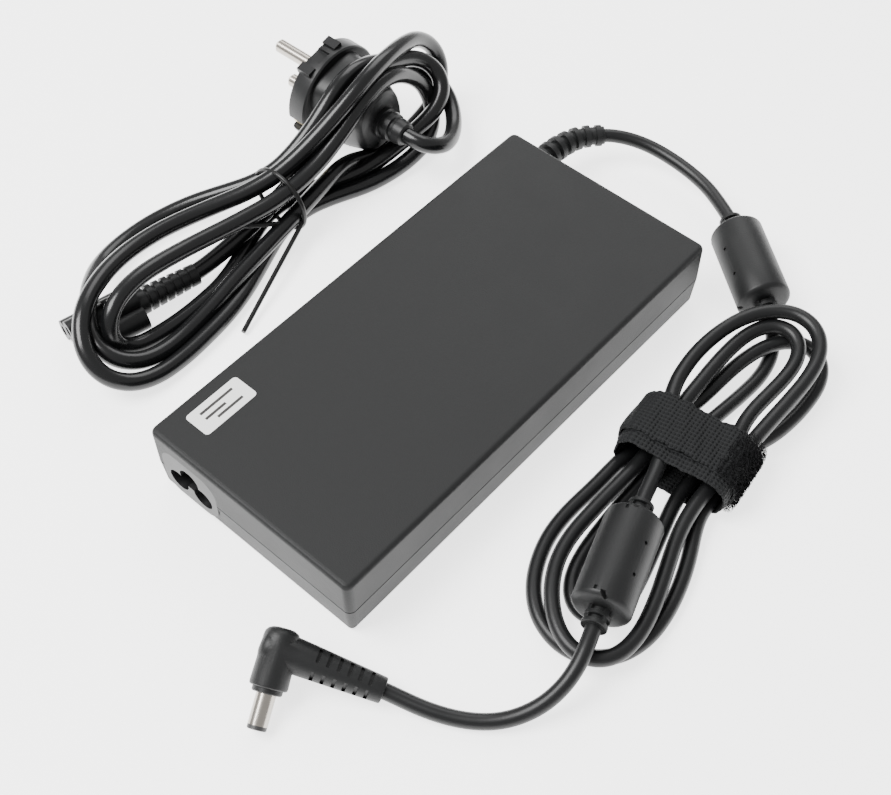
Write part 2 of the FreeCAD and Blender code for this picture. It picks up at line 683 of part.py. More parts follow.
def build_connector():
    body = clover(connector_lobe_radius, connector_body_length)
    grip = clover(connector_lobe_radius + 0.7, connector_body_length - 13.0)
    grip.translate(V(0, 13.0, 0))
    body = body.fuse(grip).removeSplitter()
    boot = cone(4.6, 3.6, V(0, connector_body_length, 1.4), V(0, 1, 0), 22.0)
    body = body.fuse(boot).removeSplitter()
    for index in range(6):
        groove = ring(6.0, 3.3, V(0, connector_body_length + 3.0 + 3.0 * index, 1.4), V(0, 1, 0), 1.1)
        body = body.cut(groove)
    contacts = []
    for center in pole_centers():
        hole = cylinder(1.75, center, V(0, 1, 0), 12.5)
        body = body.cut(hole)
        contacts.append(ring(1.65, 1.25, center + V(0, 1.2, 0), V(0, 1, 0), 10.5))
    contact_set = separate(contacts)
    turn = math.degrees(math.atan2(connector_axis.x, connector_axis.y))
    for shape in (body, contact_set):
        shape.rotate(V(0, 0, 0), V(0, 0, 1), -turn)
        shape.translate(connector_face)
    nodes["connector_body"] = body
    nodes["connector_contacts"] = contact_set


# ---- mains lead hank and tie --------------------------------------------------------
tie_center = V(-86.5, 16.0, 12.3)
tie_radius = 11.4
tie_wire_radius = 0.8


def build_lead_hank():
    clearance = 2.0
    core = cylinder(tie_radius - 0.9, tie_center - V(0, 8.0, 0), V(0, 1, 0), 16.0)
    lower = tapered_slot((-91.0, -46.0), 26.5, (-87.0, 2.0), 14.0, 0.0, 17.0)
    upper = tapered_slot((-84.5, 88.0), 15.5, (-86.5, 34.0), 12.5, 4.0, 29.5)
    slabs = joined([lower, upper])
    band = box(-130.0, -50.0, tie_center.y - clearance, tie_center.y + clearance, -1.0, 40.0)
    hank = slabs.cut(band).fuse(core)
    upper_link = cylinder(tie_radius - 1.4, tie_center, V(0, 1, 0), 12.0)
    hank = hank.fuse(upper_link).removeSplitter()
    for name in ("wall_plug_body", "connector_body", "connector_contacts"):
        hank = hank.cut(nodes[name])
    solids = sorted(hank.Solids, key=lambda solid: solid.Volume)
    print("mains lead hank solids", [round(solid.Volume) for solid in solids])
    nodes["mains_lead_hank"] = solids[-1]
    loop = Part.makeTorus(tie_radius, tie_wire_radius, tie_center, V(0, 1, 0))
    twist_point = tie_center + V(tie_radius - 1.2, 0, -4.0)
    free_ends = [V(-61.5, -27.0, 1.4), V(-84.7, -7.0, 18.2)]
    tails = []
    for end in free_ends:
        reach = end - twist_point
        tails.append(cylinder(tie_wire_radius, twist_point, reach.normalize(), (end - twist_point).Length))
    nodes["twist_tie"] = joined([loop] + tails)
    nodes["mains_lead_hank"] = nodes["mains_lead_hank"].cut(nodes["twist_tie"])


# ---- assembly -----------------------------------------------------------------------
def main():
    build_case()
    build_label()
    build_inlet()
    build_inlet_wires()
    build_board()
    build_input_parts()
    build_choke()
    build_primary_side()
    build_transformer()
    build_output_side()
    build_heat_spreaders()
    build_cord_relief()
    ferrite_a_solid = build_ferrite("ferrite_a", ferrite_a_ends)
    ferrite_b_solid = build_ferrite("ferrite_b", ferrite_b_ends)
    nodes["dc_cord_run"] = tube("laptop cord from the case", cord_route_a, cord_radius)
    nodes["dc_cord_tail"] = tube("laptop cord to the plug", cord_route_c, cord_radius)
    build_plug()
    build_cord_hank(ferrite_a_solid, ferrite_b_solid)
    build_wall_plug()
    build_connector()
    build_lead_hank()
    os.makedirs("parts", exist_ok=True)
    for name, shape in sorted(nodes.items()):
        solids = shape.Solids
        bounds = shape.BoundBox
        if not solids or not shape.isValid():
            print("PROBLEM", name, len(solids), shape.isValid())
        print(name, len(solids), "solids", round(bounds.ZMin, 2), round(bounds.ZMax, 2))
        shape.exportStep("parts/" + name + ".step")


main()
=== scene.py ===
import math
import random

import bmesh
import bpy
from mathutils import Matrix, Vector


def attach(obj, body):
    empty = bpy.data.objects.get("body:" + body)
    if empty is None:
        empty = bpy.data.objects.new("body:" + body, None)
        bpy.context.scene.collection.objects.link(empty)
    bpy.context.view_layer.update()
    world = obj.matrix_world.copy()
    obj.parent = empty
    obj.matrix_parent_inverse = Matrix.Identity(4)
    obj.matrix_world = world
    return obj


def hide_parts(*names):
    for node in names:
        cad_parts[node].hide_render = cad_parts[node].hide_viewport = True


# A laptop power adapter with both leads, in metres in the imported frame.
# Lengths written in millimetres are turned into metres by mm().

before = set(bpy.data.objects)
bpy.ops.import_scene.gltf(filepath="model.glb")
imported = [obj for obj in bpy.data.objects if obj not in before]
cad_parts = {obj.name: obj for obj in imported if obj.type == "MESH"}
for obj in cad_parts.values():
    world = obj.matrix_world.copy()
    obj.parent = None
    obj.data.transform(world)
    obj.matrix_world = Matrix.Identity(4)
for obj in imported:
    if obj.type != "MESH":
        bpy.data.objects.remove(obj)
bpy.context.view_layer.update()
scene = bpy.context.scene
random.seed(7)


def mm(*values):
    return Vector([value / 1000.0 for value in values])


# ---- routes of the two cords, in millimetres -----------------------------------------
# The strands of each hank lie beside and on each other, and press into each other a little.
LAPTOP_CORD_MM = [
    (-26.3, 108.7, 12.6), (-23, 112.5, 12.4), (-19.2, 115.7, 11.8), (-14.9, 118.2, 11.1),
    (-10.3, 119.9, 10.4), (-5.4, 120.8, 9.8), (-0.4, 121, 9.4), (4.6, 120.8, 9.1), (9.6, 120.2, 8.8),
    (14.5, 119.1, 8.7), (19.2, 117.5, 8.6), (23.8, 115.3, 8.6), (28.2, 112.9, 8.7), (32.5, 110.4, 8.8),
    (36.5, 107.4, 8.8), (40.4, 104.2, 8.8), (44.3, 101, 8.8), (48.2, 97.9, 8.8), (52.2, 94.8, 8.8),
    (56.2, 91.7, 8.8), (60.1, 88.6, 8.8), (64, 85.5, 8.7), (67.7, 82.5, 7.3), (70.7, 79.1, 5.4),
    (72.9, 74.9, 3.8), (74, 70.2, 2.8), (74.4, 65.2, 2.4), (74.2, 60.3, 2.4), (73.9, 55.3, 2.5),
    (73.5, 50.3, 2.8), (73.2, 45.3, 3.3), (72.8, 40.3, 3.7), (72.4, 35.3, 4.1), (72, 30.3, 4.4),
    (71.6, 25.3, 4.4), (71.1, 20.3, 4.3), (70.7, 15.3, 4.1), (70.4, 10.3, 3.7), (70.3, 5.3, 3.2),
    (70.3, 0.3, 2.9), (70.5, -4.7, 2.6), (70.9, -9.7, 2.5), (71.4, -14.7, 2.5), (72.1, -19.7, 2.5),
    (73.3, -24.6, 2.5), (75.2, -29.2, 2.5), (78.3, -33.1, 2.5), (82.7, -35.1, 2.5), (87.3, -34.1, 2.5),
    (90.2, -30.2, 2.5), (90.9, -25.3, 2.5), (90.5, -20.4, 2.4), (89.4, -15.5, 2.4), (88.1, -10.6, 2.5),
    (86.7, -5.8, 2.6), (85.3, -0.9, 2.8), (83.9, 3.9, 3.2), (82.6, 8.7, 3.7), (81.6, 13.6, 4.1),
    (81.2, 18.6, 4.3), (81.5, 23.6, 4.3), (82.5, 28.5, 4.3), (84.1, 33.2, 4.3), (86, 37.9, 4.1),
    (87.9, 42.5, 4), (89.6, 47.2, 3.8), (90.7, 52.1, 3.8), (91.3, 57.1, 3.9), (91.6, 62.1, 4.1),
    (91.5, 67.1, 4.5), (91.1, 72, 5), (89.8, 76.8, 5.5), (87.2, 80.9, 6.2), (83, 83.3, 7),
    (78.3, 82.8, 7.7), (74.4, 79.8, 8.2), (71.6, 75.7, 8.2), (69.6, 71.2, 7.8), (68.2, 66.4, 7),
    (67.3, 61.6, 6.2), (66.8, 56.6, 5.5), (66.5, 51.7, 5), (66.1, 46.7, 4.6), (65.5, 41.7, 4.4),
    (64.7, 36.8, 4.3), (63.9, 31.8, 4.3), (62.9, 26.9, 4.3), (62, 22, 4.3), (61.4, 17, 4.2),
    (61.1, 12, 4.1), (61, 7, 4), (60.9, 2, 3.7), (60.7, -3, 3.5), (60.4, -8, 3.3), (60.3, -13, 3.1),
    (60.6, -18, 2.9), (61.4, -22.9, 2.7), (62.9, -27.7, 2.6), (64.9, -32.3, 2.5), (67.5, -36.6, 2.4),
    (70.8, -40.4, 2.4), (74.7, -43.5, 2.4), (79.2, -45.5, 2.4), (84.1, -46.5, 2.4), (89.1, -46.1, 2.4),
    (93.7, -44.2, 2.4), (97.4, -41, 2.4), (100.1, -36.8, 2.4), (101.6, -32, 2.4), (102.2, -27, 2.5),
    (101.9, -22, 2.6), (101.1, -17, 2.7), (99.9, -12.1, 2.8), (98.4, -7.3, 3), (96.6, -2.6, 3.2),
    (94.5, 2, 3.4), (92.3, 6.5, 3.7), (90.5, 11.2, 4.1), (89.8, 16.2, 4.7), (89.4, 21.1, 5.5),
    (88.5, 25.9, 6.4), (87.1, 30.6, 7.5), (85.4, 35.1, 8.5), (83.8, 39.8, 9.3), (82.7, 44.6, 9.8),
    (82.3, 49.6, 10), (82.4, 54.6, 10.1), (82.6, 59.6, 10.2), (82.8, 64.6, 10.5), (82.6, 69.6, 10.9),
    (81.6, 74.4, 11.5), (79.1, 78.6, 12.2), (74.8, 80.8, 12.7), (70.1, 79.8, 12.6), (66.7, 76.3, 12.2),
    (64.8, 71.8, 11.6), (63.9, 66.8, 11.1), (63.6, 61.8, 10.6), (63.6, 56.8, 10.2), (63.8, 51.8, 9.9),
    (64.1, 46.8, 9.6), (64.4, 41.8, 9.4), (64.8, 36.8, 9.1), (65.3, 31.8, 8.9), (65.9, 26.8, 8.7),
    (66.5, 21.8, 8.5), (67, 16.8, 8.4), (67.2, 11.8, 8.2), (67.2, 6.8, 8.1), (67.1, 1.8, 8),
    (67, -3.2, 8), (67, -8.2, 7.9), (67.1, -13.2, 7.9), (67.3, -18.3, 7.7), (68, -23.2, 7.6),
    (69.3, -28.1, 7.5), (71.3, -32.6, 7.4), (74, -36.9, 7.3), (77.3, -40.7, 7.2), (81.1, -44, 7.2),
    (85.4, -46.4, 7.2), (90.2, -47.5, 7.2), (95, -46.6, 7.2), (98.8, -43.4, 7.3), (100.6, -38.9, 7.4),
    (100.9, -33.9, 7.5), (100.3, -29, 7.6), (99.1, -24.1, 7.7), (97.6, -19.3, 7.7), (95.9, -14.6, 7.8),
    (94.1, -9.9, 7.8), (92.3, -5.2, 7.9), (90.7, -0.5, 8.1), (89.4, 4.4, 8.3), (88.6, 9.3, 8.7),
    (88.2, 14.3, 9.3), (88.3, 19.2, 10), (88.7, 24.2, 10.8), (89, 29.1, 11.5), (89.1, 34.1, 12),
    (89.2, 39.1, 12.4), (89.2, 44.1, 12.7), (89.2, 49.1, 13), (89.3, 54.1, 13.3), (89.3, 59.1, 13.7),
    (89.3, 64.1, 14.1), (88.9, 69.1, 14.6), (88, 74, 15.1), (86.1, 78.6, 15.6), (82.9, 82.4, 16.1),
    (78.6, 84.6, 16.4), (73.6, 84.8, 16.4), (69.1, 82.9, 16.2), (65.3, 79.7, 15.8), (62.4, 75.7, 15.3),
    (60.2, 71.2, 14.7), (58.8, 66.5, 14.1), (57.9, 61.5, 13.5), (57.5, 56.6, 13), (57.6, 51.6, 12.7),
    (58.2, 46.6, 12.5), (59.2, 41.7, 12.5), (60.9, 37, 12.7), (63, 32.4, 12.9), (65.5, 28.1, 13.1),
    (68.1, 23.8, 13.2), (70.5, 19.4, 13.3), (72.6, 14.9, 13.2), (74.3, 10.2, 13.2), (75.7, 5.4, 13.2),
    (77.1, 0.5, 13.2), (78.8, -4.2, 13.3), (80.5, -8.9, 13.3), (82.2, -13.6, 13.4), (83.8, -18.4, 13.4),
    (85.4, -23.2, 13.5), (87, -27.9, 13.6), (88.7, -32.6, 13.6), (90.3, -37.4, 13.7), (92, -42.1, 13.8),
    (93.7, -46.8, 13.6), (95, -51.5, 12.5), (95.5, -56.2, 10.7), (95, -60.6, 8.5), (93.7, -64.9, 6.3),
    (91.5, -69.1, 4.4), (88.7, -73.1, 3.2), (85.3, -76.6, 2.5), (81.3, -79.7, 2.3), (77, -82.3, 2.4),
    (72.5, -84.5, 2.8), (67.9, -86.3, 3.3), (63.2, -87.8, 3.9), (58.5, -89.4, 4.8), (54, -91.4, 5.9),
]
MAINS_LEAD_MM = [
    (-88.9, -25, 5.8), (-88, -19, 6.3), (-87.4, -13, 7.3), (-86.9, -6.9, 8.4), (-86.7, -0.9, 9.7),
    (-86.6, 5.1, 11), (-86.5, 11.2, 12.5), (-86.6, 17.2, 14), (-86.6, 23.2, 15.9), (-86.8, 29, 18),
    (-86.9, 34.7, 20.6), (-87.1, 40.3, 23.6), (-87.2, 45.6, 27), (-87.3, 50.8, 30.6),
    (-87.6, 56.4, 33.5), (-88.1, 62.6, 34.4), (-88.6, 68.7, 33.5), (-89.1, 74.6, 31.8),
    (-89.2, 80.4, 29.8), (-88.3, 85.9, 27.3), (-85.7, 90.1, 24), (-81.5, 91.2, 20.1),
    (-77.7, 88.5, 16.6), (-75.8, 83.6, 13.9), (-75.7, 78, 11.7), (-76.4, 72.2, 9.9), (-77.2, 66.3, 8.4),
    (-78, 60.4, 7.1), (-78.9, 54.5, 5.9), (-80.2, 48.6, 5.1), (-82.3, 42.9, 4.8), (-84.5, 37.2, 5),
    (-86.6, 31.6, 5.4), (-88.4, 25.8, 5.8), (-89.6, 19.9, 5.9), (-89.8, 14, 5.8), (-88.9, 8.1, 5.5),
    (-87.1, 2.4, 4.9), (-85, -3.2, 4.3), (-82.9, -8.8, 3.8), (-81.2, -14.5, 3.4), (-80, -20.4, 3.1),
    (-79.5, -26.4, 3), (-79.3, -32.4, 2.9), (-79.4, -38.4, 2.9), (-80, -44.3, 2.9), (-80.8, -50.2, 2.9),
    (-81.7, -55.8, 4.3), (-82.8, -60.1, 8.1), (-84.3, -60.8, 13.6), (-86.1, -57.8, 18.2),
    (-87.7, -52.7, 20.5), (-88.8, -46.9, 21), (-89.5, -40.9, 20.7), (-89.7, -34.9, 19.9),
    (-89.4, -28.9, 19.2), (-88.8, -22.9, 18.6), (-87.8, -16.9, 18.3), (-86.7, -10.9, 18),
    (-85.4, -5, 18), (-84.2, 1, 18.1), (-83, 6.9, 18.3), (-82.1, 13, 18.9), (-81.5, 19, 19.7),
    (-81.3, 25, 20.9), (-81.3, 31, 22.5), (-81.6, 36.8, 24.6), (-82, 42.5, 27), (-82.3, 48.1, 29.8),
    (-82.5, 53.7, 32.5), (-82.9, 59.7, 34.2), (-83.5, 66, 33.7), (-84.2, 71.7, 31.2),
    (-84.6, 76.8, 27.6), (-84.3, 81.4, 23.4), (-83.2, 84.7, 18.5), (-80.8, 85.5, 13),
    (-77.7, 83.2, 8.6), (-74.9, 78.7, 5.8), (-73.2, 73.1, 4.4), (-72.7, 67.1, 3.8), (-72.9, 61.1, 3.4),
    (-73.7, 55.1, 3.1), (-75, 49.2, 2.9), (-76.9, 43.5, 2.9), (-79.2, 37.9, 3.1), (-81.3, 32.2, 3.3),
    (-82.8, 26.3, 3.6), (-83.3, 20.3, 3.8), (-82.9, 14.3, 3.9), (-81.5, 8.4, 3.8), (-79.5, 2.7, 3.5),
    (-77.3, -3, 3.2), (-75.1, -8.6, 3), (-73, -14.3, 2.9), (-71.2, -20.1, 2.9), (-69.8, -25.9, 2.9),
    (-68.8, -31.9, 2.9), (-68.1, -37.9, 2.9), (-67.5, -43.9, 2.9), (-67.3, -49.9, 3),
    (-67.4, -55.9, 3.4), (-68.4, -61.8, 4.4), (-70.5, -67, 6.2), (-74.2, -70.8, 8.9),
    (-78.9, -72.2, 12.2), (-83.8, -71, 15.4), (-88.2, -67.9, 17.9), (-92, -63.6, 19.6),
    (-95.3, -58.5, 20.1), (-98, -53.1, 19.7), (-100.2, -47.5, 19.1), (-101.8, -41.6, 18.4),
    (-102.7, -35.7, 17.8), (-102.8, -29.6, 17.4), (-102.3, -23.6, 17.2), (-101.1, -17.6, 17.1),
    (-99.4, -11.8, 17.2), (-97.4, -6.1, 17.5), (-95.1, -0.5, 18), (-92.7, 5, 18.7), (-90.6, 10.6, 19.8),
    (-88.7, 16.2, 21.2), (-87.4, 21.8, 23.1), (-86.4, 27.4, 25.4), (-85.6, 32.8, 27.9),
    (-84.9, 38.3, 30.6), (-84.4, 43.7, 33.3), (-84.1, 49.3, 35.8), (-84.2, 55, 37.9), (-84.9, 61, 39),
    (-86, 67, 38.8), (-87.4, 72.8, 37.7), (-89, 78.5, 36.1), (-90.5, 84, 34.1), (-91.8, 89.4, 31.5),
    (-92.2, 94.3, 28), (-91.4, 98.1, 23.5), (-89.3, 99.5, 18.2), (-86.7, 97.8, 13.2),
    (-84.6, 93.6, 9.5), (-83.2, 88.2, 7.1), (-82.6, 82.4, 5.6), (-82.4, 76.4, 4.4), (-82.5, 70.3, 3.5),
    (-82.9, 64.2, 2.9), (-83.6, 58.2, 3.5), (-84.2, 52.4, 5.7), (-84.2, 46.9, 8.3), (-83.4, 41, 10),
    (-82.3, 35.1, 10.7), (-81.2, 29.1, 10.8), (-80.2, 23.1, 10.7), (-79.4, 17.1, 10.3),
    (-78.7, 11.1, 9.8), (-78, 5.1, 9.3), (-77.3, -0.8, 8.8), (-76.6, -6.8, 8.3), (-76, -12.8, 7.6),
    (-75.4, -18.7, 6.7), (-74.7, -24.6, 5.7), (-74.1, -30.6, 4.9), (-73.6, -36.6, 4.2),
    (-73.1, -42.6, 4), (-72.7, -48.6, 4.4), (-73, -54.6, 5.3), (-74.6, -60.1, 6.8), (-78.1, -64.3, 9),
    (-83.3, -65.9, 11.3), (-88.7, -64.5, 13.3), (-93.6, -61.3, 14.7), (-98.2, -57.4, 15.2),
    (-102.5, -53.4, 14.2), (-106.5, -49.4, 12.3), (-110.2, -45.2, 10.2), (-113.2, -40.4, 8.3),
    (-115.3, -34.9, 7.1), (-116.4, -29.1, 6.4), (-116.5, -23.1, 6.3), (-115.7, -17.2, 6.7),
    (-114.1, -11.4, 7.3), (-111.9, -5.9, 8.2), (-109.1, -0.7, 9.2), (-105.8, 4.2, 10.3),
    (-102.2, 8.8, 11.7), (-98.6, 13.3, 13.3), (-95.5, 17.9, 15.4), (-93.2, 22.8, 18), (-91.9, 27.8, 21),
    (-91.1, 32.8, 24.2), (-90.7, 37.8, 27.5), (-90.8, 42.8, 30.8), (-91.4, 48.1, 33.5),
    (-92.2, 53.8, 35.2), (-92.9, 59.7, 35.4), (-93.4, 65.6, 34.1), (-93.6, 71.3, 31.7),
    (-93.4, 76.6, 28.7), (-92.7, 81.8, 25.5), (-91.1, 86.7, 22.3), (-88.2, 90.6, 18.8),
    (-84.1, 92.7, 15.2), (-79, 92.3, 12.1), (-74.1, 89.6, 10.2), (-69.7, 85.6, 9.6),
    (-65.9, 80.9, 10.1), (-62.9, 75.9, 11.5), (-61.2, 70.6, 13.7), (-62, 65.4, 16.4), (-66, 61.9, 18.4),
    (-72, 61.9, 18.6),
]

# ---- materials -----------------------------------------------------------------------
def material(name, color, rough, grain=0.0, grain_size=0.4, mottling=0.12, metal=0.0,
             rough_spread=0.06, specular=0.5):
    """Principled surface whose colour, roughness and height all come from noise."""
    made = bpy.data.materials.new(name)
    made.use_nodes = True
    nodes = made.node_tree.nodes
    links = made.node_tree.links
    shader = nodes["Principled BSDF"]
    shader.inputs["Metallic"].default_value = metal
    shader.inputs["Specular IOR Level"].default_value = specular
    place = nodes.new("ShaderNodeTexCoord")
    broad = nodes.new("ShaderNodeTexNoise")
    broad.inputs["Scale"].default_value = 60.0
    broad.inputs["Detail"].default_value = 4.0
    links.new(place.outputs["Object"], broad.inputs["Vector"])
    tint = nodes.new("ShaderNodeMix")
    tint.data_type = "RGBA"
    tint.inputs[6].default_value = [c * (1.0 - mottling) for c in color] + [1.0]
    tint.inputs[7].default_value = [min(1.0, c * (1.0 + mottling)) for c in color] + [1.0]
    links.new(broad.outputs["Fac"], tint.inputs[0])
    links.new(tint.outputs[2], shader.inputs["Base Color"])
    spread = nodes.new("ShaderNodeMapRange")
    spread.inputs["To Min"].default_value = max(0.02, rough - rough_spread)
    spread.inputs["To Max"].default_value = min(1.0, rough + rough_spread)
    links.new(broad.outputs["Fac"], spread.inputs["Value"])
    links.new(spread.outputs["Result"], shader.inputs["Roughness"])
    fine = nodes.new("ShaderNodeTexNoise")
    fine.inputs["Scale"].default_value = 1000.0 / grain_size
    fine.inputs["Detail"].default_value = 2.0
    links.new(place.outputs["Object"], fine.inputs["Vector"])
    bump = nodes.new("ShaderNodeBump")
    bump.inputs["Strength"].default_value = grain
    bump.inputs["Distance"].default_value = 0.0002
    links.new(fine.outputs["Fac"], bump.inputs["Height"])
    links.new(bump.outputs["Normal"], shader.inputs["Normal"])
    return made


MATERIALS = {
    "case_plastic": material("case_plastic", (0.0125, 0.0128, 0.013), 0.5, 0.4, 0.45, 0.06, specular=0.2),
    "label_film": material("label_film", (0.82, 0.82, 0.81), 0.3, 0.05, 0.5, 0.02),
    "label_print": material("label_print", (0.02, 0.018, 0.017), 0.4, 0.05, 0.5, 0.1),
    "rating_film": material("rating_film", (0.10, 0.10, 0.10), 0.45, 0.1, 0.5),
    "inlet_plastic": material("inlet_plastic", (0.008, 0.008, 0.0085), 0.4, 0.12, 0.4, specular=0.3),
    "nickel": material("nickel", (0.42, 0.39, 0.35), 0.24, 0.03, 0.3, 0.03, metal=1.0),
    "wire_insulation": material("wire_insulation", (0.45, 0.26, 0.07), 0.4, 0.05),
    "circuit_board": material("circuit_board", (0.03, 0.16, 0.07), 0.4, 0.1),
    "insulating_film": material("insulating_film", (0.66, 0.66, 0.62), 0.4, 0.05),
    "ceramic": material("ceramic", (0.8, 0.78, 0.72), 0.25, 0.05),
    "blue_epoxy": material("blue_epoxy", (0.06, 0.16, 0.45), 0.25, 0.1, 0.9),
    "dark_epoxy": material("dark_epoxy", (0.05, 0.07, 0.05), 0.25, 0.1, 0.9),
    "yellow_box": material("yellow_box", (0.72, 0.55, 0.08), 0.35, 0.05),
    "ferrite": material("ferrite", (0.07, 0.07, 0.075), 0.6, 0.3, 0.3),
    "black_resin": material("black_resin", (0.025, 0.025, 0.025), 0.45, 0.15),
    "copper_wire": material("copper_wire", (0.62, 0.25, 0.10), 0.3, 0.05, metal=0.8),
    "aluminium": material("aluminium", (0.7, 0.71, 0.72), 0.35, 0.1, metal=1.0),
    "capacitor_sleeve": material("capacitor_sleeve", (0.03, 0.04, 0.08), 0.3, 0.05),
    "zinc_steel": material("zinc_steel", (0.66, 0.66, 0.64), 0.3, 0.1, metal=1.0),
    "winding_tape": material("winding_tape", (0.72, 0.58, 0.12), 0.3, 0.05),
    "silicone_pad": material("silicone_pad", (0.42, 0.46, 0.55), 0.7, 0.1),
    "soft_pvc": material("soft_pvc", (0.0075, 0.0078, 0.008), 0.46, 0.2, 0.5, 0.08, specular=0.3),
    "cord_jacket": material("cord_jacket", (0.006, 0.0062, 0.0065), 0.38, 0.1, 0.6, 0.08, specular=0.3),
    "lead_plastic": material("lead_plastic", (0.007, 0.0072, 0.0075), 0.4, 0.15, 0.5, 0.08, specular=0.32),
    "lead_jacket": material("lead_jacket", (0.0045, 0.0047, 0.005), 0.24, 0.06, 0.9, 0.08, specular=0.4),
    "brass_strip": material("brass_strip", (0.66, 0.58, 0.40), 0.3, 0.05, metal=1.0),
    "tie_wire": material("tie_wire", (0.005, 0.005, 0.005), 0.35, 0.1, specular=0.3),
}


def woven(name, color, pitch, depth):
    """Webbing: two crossing waves make the raised grid of the weave."""
    made = material(name, color, 0.72, 0.5, 0.25, 0.3, specular=0.2)
    nodes = made.node_tree.nodes
    links = made.node_tree.links
    bump = next(node for node in nodes if node.bl_idname == "ShaderNodeBump")
    where = nodes.new("ShaderNodeAttribute")
    where.attribute_name = "lay"
    heights = []
    for direction in ("X", "Y"):
        wave = nodes.new("ShaderNodeTexWave")
        wave.bands_direction = direction
        wave.inputs["Scale"].default_value = math.pi / 10.0 * 1000.0 / pitch
        wave.inputs["Distortion"].default_value = 0.6
        wave.inputs["Detail Scale"].default_value = 2.0
        links.new(where.outputs["Vector"], wave.inputs["Vector"])
        heights.append(wave.outputs["Fac"])
    crossed = nodes.new("ShaderNodeMath")
    crossed.operation = "MULTIPLY"
    links.new(heights[0], crossed.inputs[0])
    links.new(heights[1], crossed.inputs[1])
    weave = nodes.new("ShaderNodeBump")
    weave.inputs["Strength"].default_value = 0.9
    weave.inputs["Distance"].default_value = depth
    links.new(crossed.outputs["Value"], weave.inputs["Height"])
    links.new(bump.outputs["Normal"], weave.inputs["Normal"])
    links.new(weave.outputs["Normal"], nodes["Principled BSDF"].inputs["Normal"])
    return made


MATERIALS["strap_webbing"] = woven("strap_webbing", (0.010, 0.0105, 0.011), 1.3, 0.0006)
MATERIALS["strap_pile"] = material("strap_pile", (0.006, 0.006, 0.0065), 0.9, 0.8, 0.5, 0.4, specular=0.15)

SLOT_OF_NODE = {
    "top_shell": "case_plastic", "bottom_shell": "case_plastic", "board_posts": "case_plastic",
    "brand_label": "label_film", "rating_label": "rating_film",
    "inlet_housing": "inlet_plastic", "inlet_line_pin": "nickel", "inlet_neutral_pin": "nickel",
    "inlet_earth_pin": "nickel", "inlet_wires": "wire_insulation", "main_board": "circuit_board",
    "insulating_sheet": "insulating_film", "fuse": "ceramic", "inrush_thermistor": "dark_epoxy",
    "varistor": "blue_epoxy", "x_capacitor": "yellow_box", "y_capacitor": "blue_epoxy",
    "choke_core": "ferrite", "choke_base": "black_resin", "choke_windings": "copper_wire",
    "bridge_rectifier": "black_resin", "bulk_capacitors": "capacitor_sleeve",
    "primary_heatsink": "aluminium", "output_heatsink": "aluminium",
    "top_heat_spreader": "aluminium", "switching_transistors": "black_resin",
    "output_rectifiers": "black_resin", "heatsink_screws": "zinc_steel",
    "transformer_core": "ferrite", "transformer_bobbin": "black_resin",
    "transformer_winding": "winding_tape", "optocouplers": "black_resin",
    "control_chips": "black_resin", "output_capacitors": "capacitor_sleeve",
    "output_choke_core": "ferrite", "output_choke_winding": "copper_wire",
    "inductor_core": "ferrite", "inductor_winding": "copper_wire", "thermal_pads": "silicone_pad",
    "dc_strain_relief": "soft_pvc", "ferrite_a_core": "ferrite", "ferrite_b_core": "ferrite",
    "ferrite_a_overmould": "soft_pvc", "ferrite_b_overmould": "soft_pvc",
    "dc_plug_body": "soft_pvc", "dc_plug_barrel": "nickel", "dc_plug_insulator": "black_resin",
    "dc_plug_contact": "nickel", "wall_plug_body": "lead_plastic", "wall_plug_pins": "nickel",
    "wall_plug_earth_strips": "brass_strip", "wall_plug_earth_socket": "brass_strip",
    "connector_body": "lead_plastic", "connector_contacts": "brass_strip",
    "dc_cord_run": "cord_jacket", "dc_cord_hank": "cord_jacket", "dc_cord_tail": "cord_jacket",
    "mains_lead_hank": "lead_jacket", "twist_tie": "tie_wire", "cable_strap": "strap_webbing",
}

for node_name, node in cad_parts.items():
    node.data.materials.clear()
    node.data.materials.append(MATERIALS[SLOT_OF_NODE[node_name]])


# ---- shape helpers -------------------------------------------------------------------
def piece(name, mesh_or_curve, slot, body="adapter", finish=None):
    """Adds a piece that rides a body; finish names its material where that isn't the slot's own."""
    made = bpy.data.objects.new(name, mesh_or_curve)
    scene.collection.objects.link(made)
    made.data.materials.append(MATERIALS[finish or slot])
    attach(made, body)
    return made


def smooth(mesh, angle=0.6):
    """Smooth shading that keeps edges sharper than the angle."""
    work = bmesh.new()
    work.from_mesh(mesh)
    for face in work.faces:
        face.smooth = True
    for edge in work.edges:
        edge.smooth = not (edge.is_manifold and edge.calc_face_angle(0.0) > angle)
    work.to_mesh(mesh)
    work.free()
    return mesh


def tube_curve(name, points, diameter, body, slot):
    """One smooth NURBS curve with a round section, from points in millimetres."""
    curve = bpy.data.curves.new(name, "CURVE")
    curve.dimensions = "3D"
    line = curve.splines.new("NURBS")
    line.points.add(len(points) - 1)
    for control, point in zip(line.points, points):
        control.co = (*mm(*point), 1.0)
    line.order_u = 3
    line.use_endpoint_u = True
    curve.resolution_u = 5
    curve.bevel_depth = diameter / 2.0
    curve.bevel_resolution = 8
    curve.use_fill_caps = True
    return piece(name, curve, slot, body)


# ---- cords ---------------------------------------------------------------------------
CORD_DIAMETER = 0.0047
LEAD_DIAMETER = 0.0058

laptop_cord = tube_curve("laptop_cord", LAPTOP_CORD_MM, CORD_DIAMETER, "adapter", "cord_jacket")
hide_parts("dc_cord_run", "dc_cord_hank", "dc_cord_tail")
mains_lead = tube_curve("mains_lead_cord", MAINS_LEAD_MM, LEAD_DIAMETER, "mains_lead", "lead_jacket")
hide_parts("mains_lead_hank")


